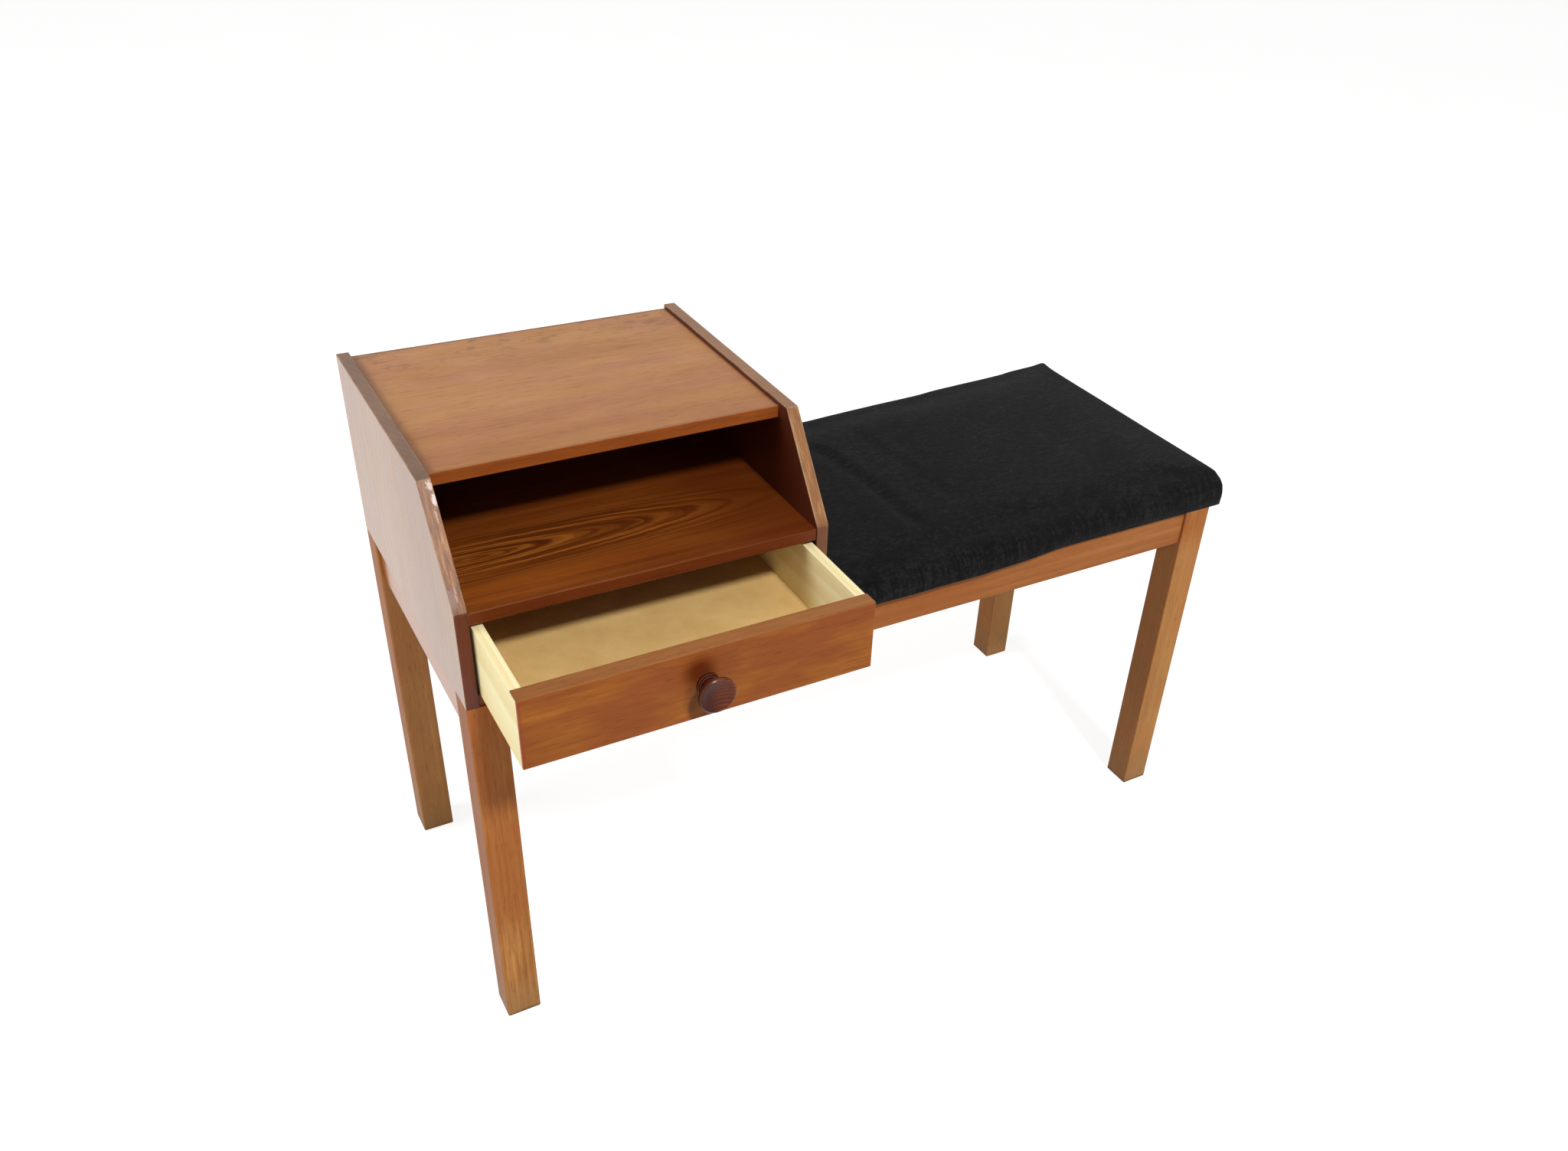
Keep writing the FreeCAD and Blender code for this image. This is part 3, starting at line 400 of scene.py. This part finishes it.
def panel_teak(name, worn_slope):
    """Side panels: glossy outer face, sloped front edge worn, upright edge deep brown, painted shade darkening
    the inner faces.
    """
    wood = Wood(name, "Z", pith=(0.2, 0.4), ring=0.007)
    share = wood.blend_of(rings=0.08, streak=0.3, fibre=0.15, broad=0.45, mottle=0.35)
    colour = wood.ramp(share, (0.2, tone(124, 74, 38)), (0.5, tone(152, 100, 56)), (0.8, tone(176, 126, 80)))
    # Painted shade: the panels' inner faces are darker and redder.
    inside = wood.within(wood.x, -0.4220, -0.0950, 0.0004)
    colour = wood.mix(inside, colour, wood.ramp(share, (0.2, tone(58, 22, 8)), (0.8, tone(88, 36, 14))))
    slope = wood.rise(wood.z, 0.494, 0.506)
    grainy = wood.noise(wood.scaled(wood.place, 420.0, 60.0, 38.0), detail=3.0, roughness=0.6)
    grainy = wood.plus(wood.times(grainy, 0.7), wood.times(wood.mottle, 0.3))
    ragged = wood.noise(wood.scaled(wood.place, 600.0, 600.0, 420.0), detail=3.0)
    if worn_slope:
        worn = wood.ramp(grainy, (0.34, tone(80, 40, 14)), (0.5, tone(138, 84, 38)), (0.66, tone(184, 130, 74)))
        for x, z, wide, high, shown in CHIPS:
            away = wood.plus(wood.calc("POWER", wood.calc("DIVIDE", wood.minus(wood.x, x), wide), 2.0),
                             wood.calc("POWER", wood.calc("DIVIDE", wood.minus(wood.z, z), high), 2.0))
            away = wood.plus(away, wood.times(wood.minus(ragged, 0.5), 4.0))
            worn = wood.stain(worn, wood.rise(away, 1.2, 0.5), 0.9, tone(*shown))
    else:
        worn = wood.ramp(grainy, (0.32, tone(116, 72, 38)), (0.5, tone(146, 96, 52)),
                         (0.66, tone(174, 126, 78)))
    upright = wood.ramp(share, (0.2, tone(66, 20, 4)), (0.8, tone(112, 48, 14)))
    if not worn_slope:
        upright = wood.ramp(share, (0.2, tone(90, 46, 20)), (0.8, tone(140, 86, 46)))
    edge = wood.mix(slope, upright, worn)
    top = wood.ramp(share, (0.2, tone(112, 74, 48)), (0.8, tone(160, 112, 74)))
    if worn_slope:
        top = wood.ramp(share, (0.2, tone(88, 62, 46)), (0.8, tone(134, 100, 74)))
    edge = wood.mix(wood.faces("Z"), edge, top)
    rim = wood.times(wood.edges(0.0016), wood.rise(wood.mottle, 0.34, 0.50))
    colour = wood.mix(wood.faces("X"), edge, colour)
    colour = wood.stain(colour, wood.times(rim, slope), 0.7, tone(224, 202, 168))
    outer = wood.minus(wood.faces("X"), inside)
    rough = wood.minus(0.42, wood.times(outer, wood.minus(0.30, wood.times(wood.mottle, 0.16))))
    return wood.finish(colour, rough=rough, depth=0.000006, Specular_IOR_Level=0.35)


def drawer_teak():
    """Drawer front: reddish brown streaks, a painted shadow of the knob up and left of it and a smaller one to
    its lower left, its top edge greyer.
    """
    wood = Wood("drawer_teak", "X", pith=(0.2, 0.2), tilt=0.03, ring=0.006)
    share = wood.blend_of(rings=0.05, streak=0.4, fibre=0.2, broad=0.6, mottle=0.15, fleck=0.35)
    colour = wood.ramp(share, (0.2, tone(116, 58, 14)), (0.5, tone(163, 94, 32)), (0.8, tone(190, 120, 52)))
    colour = wood.drifted(colour, tone(136, 66, 28), 0.7)
    # Painted shadow of the knob, dark red, up and left of it.
    away = wood.away_from(-0.266, -0.2155, 0.4615, stretch=(55.0, 0.0, 52.0))
    away = wood.plus(away, wood.times(wood.minus(wood.broad, 0.5), 0.5))
    colour = wood.stain(colour, wood.rise(away, 1.1, 0.25), 0.75, tone(84, 24, 6))
    # Painted shadow of the knob to its lower left.
    under = wood.away_from(-0.272, -0.2155, 0.436, stretch=(90.0, 0.0, 48.0))
    colour = wood.stain(colour, wood.rise(under, 1.1, 0.3), 0.5, tone(92, 54, 20))
    lap = wood.rise(wood.x, -0.4165, -0.4180)
    colour = wood.stain(colour, lap, 0.5, tone(150, 58, 34))
    top = wood.ramp(share, (0.2, tone(120, 70, 34)), (0.8, tone(166, 108, 58)))
    colour = wood.mix(wood.faces("Z"), colour, top)
    rim = wood.times(wood.edges(0.0012), wood.rise(wood.mottle, 0.46, 0.6))
    colour = wood.stain(colour, rim, 0.35, tone(190, 130, 90))
    return wood.finish(colour, rough=0.42)


def pine(name, pale, dark):
    """Raw pine of the drawer's sides and back."""
    wood = Wood(name, "Y" if name == "side_pine" else "X", pith=(0.3, 0.3), ring=0.008)
    share = wood.blend_of(rings=0.25, streak=0.3, fibre=0.15, broad=0.2)
    colour = wood.ramp(share, (0.2, dark), (0.8, pale))
    return wood.finish(colour, rough=0.55, pores=0.05)


def hardboard(name, pale, dark, outside=None, **constants):
    """Pressed board: fine clouded fibres without a direction; the face at the back may have its own colour."""
    finish = Finish(name)
    clouds = finish.noise(finish.scaled(finish.place, 30.0, 30.0, 30.0), detail=5.0, roughness=0.65)
    fluff = finish.noise(finish.scaled(finish.place, 900.0, 900.0, 900.0), detail=2.0)
    share = finish.plus(finish.times(clouds, 0.8), finish.times(fluff, 0.25))
    colour = finish.ramp(share, (0.3, dark), (0.8, pale))
    if outside:
        colour = finish.mix(finish.rise(finish.parts(finish.facing)[1], 0.6, 0.8), colour,
                            finish.ramp(share, (0.3, outside[1]), (0.8, outside[0])))
    return finish.shade(colour, 0.62, finish.bump(fluff, 0.00008), **constants)


def knob_wood():
    """Turned knob: dark red purple under a polish, its rim paler as a painted highlight."""
    wood = Wood("knob_wood", "X", ring=0.003)
    share = wood.blend_of(rings=0.3, streak=0.5, fibre=0.3, broad=0.3)
    colour = wood.ramp(share, (0.2, tone(66, 20, 6)), (0.8, tone(118, 58, 32)))
    dish = wood.times(wood.rise(wood.x, -0.268, -0.252), wood.rise(wood.y, -0.219, -0.224))
    colour = wood.mix(dish, tone(66, 20, 8), colour)
    # Painted highlight: the knob's edges are made paler.
    colour = wood.stain(colour, wood.edges(0.0012), 0.6, tone(160, 112, 88))
    return wood.finish(colour, rough=0.28, edge=0.0008, Specular_IOR_Level=0.16)


def inner_wood(name, along):
    """Plain softwood of the braces and the middle rail, and the plywood's edge."""
    wood = Wood(name, along, pith=(0.2, 0.1), ring=0.006)
    share = wood.blend_of(rings=0.35)
    colour = wood.ramp(share, (0.2, tone(160, 116, 70)), (0.8, tone(208, 168, 116)))
    return wood.finish(colour, rough=0.6, pores=0.1)


def screw_steel():
    """Plated screws, finely turned."""
    finish = Finish("screw_steel")
    marks = finish.noise(finish.scaled(finish.place, 700.0, 700.0, 700.0), detail=2.0)
    colour = finish.ramp(marks, (0.3, tone(140, 138, 132)), (0.7, tone(190, 188, 182)))
    return finish.shade(colour, finish.plus(finish.times(marks, 0.2), 0.25), Metallic=1.0)


def seat_wool():
    """Charcoal wool: a fine weave under a soft nap, drawn down in streaks in front, one fleck of lint."""
    finish = Finish("seat_wool")
    x, y, z = finish.parts(finish.place)
    warp = finish.calc("SINE", finish.times(x, 2 * math.pi / 0.0019))
    weft = finish.calc("SINE", finish.times(y, 2 * math.pi / 0.0019))
    weave = finish.times(warp, weft)
    nap = finish.noise(finish.scaled(finish.place, 330.0, 330.0, 330.0), detail=4.0, roughness=0.65)
    tufts = finish.noise(finish.scaled(finish.place, 110.0, 190.0, 110.0), detail=3.0, roughness=0.6)
    clouds = finish.noise(finish.scaled(finish.place, 16.0, 16.0, 16.0), detail=4.0, roughness=0.6)
    pull = finish.noise(finish.scaled(finish.place, 260.0, 30.0, 22.0), detail=2.0)
    front = finish.rise(y, -0.080, -0.104)
    share = finish.plus(finish.times(nap, 0.45), finish.times(tufts, 0.35))
    share = finish.plus(share, finish.times(clouds, 0.2))
    drawn = finish.times(finish.minus(pull, 0.5), finish.times(front, 0.35))
    share = finish.plus(share, drawn)
    colour = finish.ramp(share, (0.36, tone(11, 11, 12)), (0.5, tone(20, 20, 21)), (0.64, tone(36, 37, 35)))
    spot = finish.add("VectorMath", {0: finish.place, 1: (0.1075, 0.0660, 0.4370)}, operation="DISTANCE")
    lint = finish.rise(finish.plus(spot.outputs["Value"], finish.times(nap, 0.003)), 0.0048, 0.0030)
    colour = finish.stain(colour, lint, 0.5, tone(92, 96, 92))
    height = finish.plus(finish.times(weave, 0.22), finish.plus(nap, tufts))
    return finish.shade(colour, 0.95, finish.bump(height, 0.0006), Sheen_Weight=0.04, Sheen_Roughness=0.5,
                        Specular_IOR_Level=0.08)


def smooth(share):
    """0 to 1 for a share of 0 to 1, level at both ends."""
    share = min(1.0, max(0.0, share))
    return share * share * (3 - 2 * share)


def eased(distance, reach, fall):
    """How far a rounded edge has fallen at this distance from the rim."""
    share = min(1.0, max(0.0, 1 - distance / reach))
    return fall * (1 - math.sqrt(1 - share * share))


def overhang(x):
    """1 where the cover hangs over the front apron, on the left, and 0 towards the right."""
    return smooth((0.27 - x) / 0.20)


def seat_spot(across, along, level):
    """A point of the start shape: shares from left to right and front to back, level 1 on top and 0 below."""
    middle = (SEAT_LOW + SEAT_HIGH) / 2
    half_x = (SEAT_HIGH.x - SEAT_LOW.x) / 2
    half_y = (SEAT_HIGH.y - SEAT_LOW.y) / 2
    u, v = 2 * across - 1, 2 * along - 1
    x = middle.x + u * (half_x - SEAT_DRAW_IN / 2 * (1 - v * v))
    y = middle.y + v * (half_y - SEAT_DRAW_IN * (1 - u * u)) - SEAT_OVERHANG * overhang(x) * (1 - v) / 2
    rim = SEAT_TOP_LEFT + (SEAT_TOP_RIGHT - SEAT_TOP_LEFT) * across ** 1.5
    height = rim + SEAT_CROWN * (1 - u ** 4) * (1 - v * v)
    height -= max(eased(2 * half_y * along, SEAT_FRONT_ROUND, SEAT_FRONT_FALL * height),
                  eased(2 * half_y * (1 - along), SEAT_SIDE_ROUND, SEAT_SIDE_ROUND),
                  eased(2 * half_x * across, SEAT_SIDE_ROUND, SEAT_SIDE_ROUND),
                  eased(2 * half_x * (1 - across), SEAT_SIDE_ROUND, SEAT_SIDE_ROUND))
    return x, y, SEAT_LOW.z - SEAT_SKIRT + (SEAT_SKIRT + height) * level


def cushion_mesh():
    """The padded seat before it swells: crowned, lower on the left, rounded most in front."""
    mesh = bmesh.new()
    columns = round((SEAT_HIGH.x - SEAT_LOW.x) / SEAT_GRID)
    rows = round((SEAT_HIGH.y - SEAT_LOW.y) / SEAT_GRID)
    layers = [[[mesh.verts.new(seat_spot(i / columns, j / rows, level)) for j in range(rows + 1)]
               for i in range(columns + 1)] for level in (0, 1)]
    for i in range(columns):
        for j in range(rows):
            for layer, turn in zip(layers, (-1, 1)):
                corners = [layer[i][j], layer[i + 1][j], layer[i + 1][j + 1], layer[i][j + 1]]
                mesh.faces.new(corners[::turn])
    rim = [(i, 0) for i in range(columns)] + [(columns, j) for j in range(rows)]
    rim += [(i, rows) for i in range(columns, 0, -1)] + [(0, j) for j in range(rows, 0, -1)]
    for (i, j), (k, m) in zip(rim, rim[1:] + rim[:1]):
        mesh.faces.new([layers[0][i][j], layers[0][k][m], layers[1][k][m], layers[1][i][j]])
    data = bpy.data.meshes.new("seat_pad")
    mesh.to_mesh(data)
    mesh.free()
    return data


def apply_modifiers(piece):
    """Replaces a piece's mesh by what its modifiers make of it now."""
    graph = bpy.context.evaluated_depsgraph_get()
    data = bpy.data.meshes.new_from_object(piece.evaluated_get(graph))
    piece.modifiers.clear()
    piece.data = data


def swell(piece):
    """Blows the pad up as cloth under pressure; its stapled edge holds, and its rim gives little."""
    start = [vertex.co.copy() for vertex in piece.data.vertices]
    held = piece.vertex_groups.new(name="stapled")
    held.add([index for index, spot in enumerate(start) if spot.z < SEAT_LOW.z + SEAT_HELD], 1.0, "REPLACE")
    cloth = piece.modifiers.new("Cloth", "CLOTH")
    cloth.settings.vertex_group_mass = "stapled"
    cloth.settings.use_pressure = True
    cloth.settings.uniform_pressure_force = SEAT_PRESSURE
    cloth.settings.effector_weights.gravity = 0
    for number in range(1, SEAT_FRAMES + 1):
        bpy.context.scene.frame_set(number)
    apply_modifiers(piece)
    piece.vertex_groups.clear()
    for vertex, origin in zip(piece.data.vertices, start):
        step = vertex.co - origin
        room = min(origin.x - SEAT_LOW.x, SEAT_HIGH.x - origin.x, origin.y - SEAT_LOW.y, SEAT_HIGH.y - origin.y)
        free = smooth(room / SEAT_RIM) * (1 - SEAT_RIM_SHARE) + SEAT_RIM_SHARE
        vertex.co = origin + step * free * min(1.0, SEAT_SWELL / max(step.length, 1e-9))
    bpy.context.scene.frame_set(1)


def seat_piece():
    """The padded seat: remeshed, swollen, creased, and hollow below for its plywood."""
    piece = bpy.data.objects.new("seat_pad", cushion_mesh())
    bpy.context.scene.collection.objects.link(piece)
    remesh = piece.modifiers.new("Remesh", "REMESH")
    remesh.mode = "VOXEL"
    remesh.voxel_size = SEAT_VOXEL
    soften = piece.modifiers.new("Smooth", "SMOOTH")
    soften.iterations = SEAT_SOFTENED
    apply_modifiers(piece)
    swell(piece)
    settle(piece)
    finer = piece.modifiers.new("Subdivision", "SUBSURF")
    finer.levels = 1
    finer.render_levels = 1
    apply_modifiers(piece)
    hollow(piece)
    piece.data.shade_smooth()
    piece.data.set_sharp_from_angle(angle=math.radians(60))
    piece.data.materials.clear()
    piece.data.materials.append(seat_wool())
    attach(piece, "bench")
    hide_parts("seat_cushion")
    return piece


# Creases of the cover on the seat, seen from above: path, height, half width
CREASES = [
    (((0.050, 0.150), (0.0605, 0.060), (0.062, -0.035)), -0.0026, 0.009),
    (((0.061, 0.150), (0.0715, 0.055), (0.074, -0.045)), 0.0014, 0.011),
    (((0.108, 0.180), (0.116, 0.100), (0.126, 0.000)), -0.0009, 0.009),
    (((0.118, 0.180), (0.126, 0.100), (0.137, 0.000)), 0.0007, 0.011),
]


def off_path(path, x, y):
    """How far a point lies from a path of straight runs."""
    spot = Vector((x, y))
    least = 1.0
    for first, last in zip(path, path[1:]):
        a, b = Vector(first), Vector(last)
        share = max(0.0, min(1.0, (spot - a).dot(b - a) / (b - a).length_squared))
        least = min(least, (spot - a - (b - a) * share).length)
    return least


def settle(piece):
    """Creases the top, lifts the rear right corner's ear, and brings the skirt down to its lower edge."""
    corner = Vector((SEAT_HIGH.x, SEAT_HIGH.y))
    for vertex in piece.data.vertices:
        spot = vertex.co
        if spot.z > SEAT_LOW.z + SEAT_TOP_FROM:
            for path, height, width in CREASES:
                away = off_path(path, spot.x, spot.y) / width
                spot.z += height * math.exp(-away * away)
            spot.z += SEAT_UNEVEN * noise.noise(Vector((spot.x * 14, spot.y * 9, 3.0)))
            ear = SEAT_EAR * math.exp(-((spot.xy - corner).length / SEAT_EAR_WIDTH) ** 2)
            spot += Vector((ear * 0.6, ear * 0.6, ear))
        ripple = SEAT_RIPPLE * noise.noise(Vector((spot.x * 26, spot.y * 26, spot.z * 20)))
        bottom = SEAT_LOW.z
        if spot.y < PLY_LOW.y - CLEAR:
            low = min(1.0, max(0.0, 1 - (spot.z - SEAT_LOW.z) / SEAT_SKIRT))
            spot.y += ripple + SEAT_TUCK * low * (1 - overhang(spot.x))
            hanging = overhang(spot.x) * min(1.0, max(0.0, (APRON_FACE - spot.y) / 0.001))
            bottom -= SEAT_DROOP * hanging
            spot.y = min(spot.y, PLY_LOW.y - HEM)
        elif spot.y > PLY_HIGH.y + CLEAR:
            spot.y = max(spot.y - ripple, PLY_HIGH.y + HEM)
        if spot.x > PLY_HIGH.x + CLEAR:
            spot.x = max(spot.x + ripple, PLY_HIGH.x + HEM)
        spot.x = max(spot.x, SEAT_LOW.x + 0.0002)
        if spot.z < bottom:
            spot.z = bottom + (spot.z - bottom) * FLATTENED


def hollow(piece):
    """Cuts the plywood's place out of the underside."""
    low = PLY_LOW - Vector((0.0005, 0.0005, 0.03))
    high = PLY_HIGH + Vector((0.0005, 0.0005, 0.0004))
    mesh = bmesh.new()
    bmesh.ops.create_cube(mesh, size=1.0)
    bmesh.ops.scale(mesh, vec=high - low, verts=mesh.verts)
    bmesh.ops.translate(mesh, vec=(low + high) / 2, verts=mesh.verts)
    data = bpy.data.meshes.new("ply_place")
    mesh.to_mesh(data)
    mesh.free()
    place = bpy.data.objects.new("ply_place", data)
    bpy.context.scene.collection.objects.link(place)
    cut = piece.modifiers.new("Hollow", "BOOLEAN")
    cut.operation = "DIFFERENCE"
    cut.solver = "EXACT"
    cut.object = place
    apply_modifiers(piece)
    bpy.data.objects.remove(place)


def dress_frame():
    """Gives every CAD node its finish."""
    legs = leg_teak()
    for place in ("front", "rear"):
        for side in ("left", "right"):
            dress(f"leg_{place}_{side}", legs)
            dress(f"corner_brace_{place}_{side}", inner_wood(f"brace_{place}_{side}", "X"))
        dress(f"apron_{place}", apron_teak(f"apron_{place}", "X"))
    for side in ("left", "right"):
        dress(f"end_rail_{side}", apron_teak(f"rail_{side}", "Y", side == "left"))
        dress(f"side_panel_{side}", panel_teak(f"panel_{side}", side == "left"))
        dress(f"drawer_side_{side}", pine("side_pine", tone(254, 246, 200), tone(236, 214, 152)))
    dress("middle_rail", inner_wood("middle_rail", "Y"))
    dress("top_board", top_teak())
    dress("shelf", shelf_teak())
    dress("cabinet_bottom", bottom_teak())
    # Painted shade: the back's face towards the cubby is a near-black brown; its rear face has the hardboard's
    # own brown.
    dress("cabinet_back", hardboard("back_hardboard", tone(52, 26, 12), tone(32, 14, 6),
                                    outside=(tone(134, 92, 58), tone(104, 66, 38)), Specular_IOR_Level=0.2))
    dress("drawer_front", drawer_teak())
    dress("drawer_back", pine("back_pine", tone(240, 222, 172), tone(214, 186, 130)))
    dress("drawer_bottom", hardboard("bottom_hardboard", tone(238, 200, 132), tone(212, 172, 104)))
    dress("knob", knob_wood())
    dress("seat_board", inner_wood("ply_face", "X"))
    steel = screw_steel()
    dress("frame_screws", steel)
    dress("knob_screw", steel)


# Lights and floor: the key lamp stands high in front of the bench, the fill lamp to its left
WORLD_LIGHT = 0.28
KEY_PLACE = (-0.10, -3.2, 4.05)
KEY_AIM = (0.0, 0.0, 0.4)
KEY_SIZE = 0.55
KEY_POWER = 168.0
FLOOR_REACH = 40.0
FLOOR_DROP = 0.0005
FLOOR_GLOW = 0.86
FLOOR_SHARE = 0.34
FLOOR_BOUNCE = 0.7
FILL_PLACE = (-3.2, 0.6, 1.8)
FILL_AIM = (-0.4, 0.0, 0.4)
FILL_SIZE = 1.6
FILL_POWER = 60.0


def studio_world():
    """White round the bench, a softer light for the surfaces themselves."""
    world = bpy.data.worlds.new("studio")
    bpy.context.scene.world = world
    world.use_nodes = True
    tree = world.node_tree
    tree.nodes.clear()
    path = tree.nodes.new("ShaderNodeLightPath")
    seen = tree.nodes.new("ShaderNodeMath")
    seen.operation = "MAXIMUM"
    tree.links.new(path.outputs["Is Camera Ray"], seen.inputs[0])
    tree.links.new(path.outputs["Is Glossy Ray"], seen.inputs[1])
    also = tree.nodes.new("ShaderNodeMath")
    also.operation = "MAXIMUM"
    tree.links.new(seen.outputs[0], also.inputs[0])
    tree.links.new(path.outputs["Is Transmission Ray"], also.inputs[1])
    strength = tree.nodes.new("ShaderNodeMapRange")
    strength.inputs["To Min"].default_value = WORLD_LIGHT
    strength.inputs["To Max"].default_value = 1.0
    tree.links.new(also.outputs[0], strength.inputs["Value"])
    light = tree.nodes.new("ShaderNodeBackground")
    light.inputs["Color"].default_value = (1.0, 1.0, 1.0, 1.0)
    tree.links.new(strength.outputs["Result"], light.inputs["Strength"])
    output = tree.nodes.new("ShaderNodeOutputWorld")
    tree.links.new(light.outputs[0], output.inputs["Surface"])


def lamp(name, place, aim, size, power):
    """A round lamp that looks from its place at its aim."""
    data = bpy.data.lights.new(name, "AREA")
    data.shape = "DISK"
    data.size = size
    data.energy = power
    item = bpy.data.objects.new(name, data)
    item.location = place
    item.rotation_euler = (Vector(aim) - Vector(place)).to_track_quat("-Z", "Y").to_euler()
    bpy.context.scene.collection.objects.link(item)


def floor():
    """Plain pale floor: mostly its own white, so that shadows stay as faint as in the photograph."""
    data = bpy.data.meshes.new("floor")
    reach = FLOOR_REACH
    data.from_pydata([(-reach, -reach, 0), (reach, -reach, 0), (reach, reach, 0), (-reach, reach, 0)], [],
                     [(0, 1, 2, 3)])
    plane = bpy.data.objects.new("floor", data)
    plane.location.z = -FLOOR_DROP
    bpy.context.scene.collection.objects.link(plane)
    finish = Finish("floor_white")
    tint = finish.ramp(finish.noise(finish.scaled(finish.place, 3.0, 3.0, 3.0), detail=3.0),
                       (0.3, tone(250, 249, 247)), (0.7, tone(255, 254, 253)))
    path = finish.add("LightPath")
    seen = finish.calc("MAXIMUM", path.outputs["Is Camera Ray"], path.outputs["Is Glossy Ray"])
    tint = finish.mix(finish.plus(finish.times(seen, FLOOR_SHARE - FLOOR_BOUNCE), FLOOR_BOUNCE),
                      tone(0, 0, 0), tint)
    matt = finish.add("BsdfDiffuse", {"Color": tint})
    glow = finish.add("Emission", {"Strength": finish.times(seen, FLOOR_GLOW)})
    both = finish.add("AddShader", {0: matt.outputs[0], 1: glow.outputs[0]})
    finish.add("OutputMaterial", {"Surface": both.outputs[0]})
    data.materials.append(finish.material)


def camera():
    """The photograph's viewpoint."""
    data = bpy.data.cameras.new("camera")
    data.sensor_width = SENSOR_WIDTH
    data.lens = SENSOR_WIDTH * FOCAL_PIXELS / PHOTO_WIDTH
    data.shift_x = (PHOTO_WIDTH / 2 - PHOTO_CENTRE[0]) / PHOTO_WIDTH
    data.shift_y = (PHOTO_CENTRE[1] - PHOTO_HEIGHT / 2) / PHOTO_WIDTH
    data.clip_start = 0.01
    data.clip_end = 200.0
    eye = bpy.data.objects.new("camera", data)
    eye.location = CAMERA_PLACE
    eye.rotation_euler = Euler([math.radians(angle) for angle in CAMERA_TURN])
    bpy.context.scene.collection.objects.link(eye)
    bpy.context.scene.camera = eye


bpy.context.scene.view_settings.view_transform = "Standard"
dress_frame()
seat_piece()
studio_world()
lamp("key", KEY_PLACE, KEY_AIM, KEY_SIZE, KEY_POWER)
lamp("fill", FILL_PLACE, FILL_AIM, FILL_SIZE, FILL_POWER)
floor()
camera()
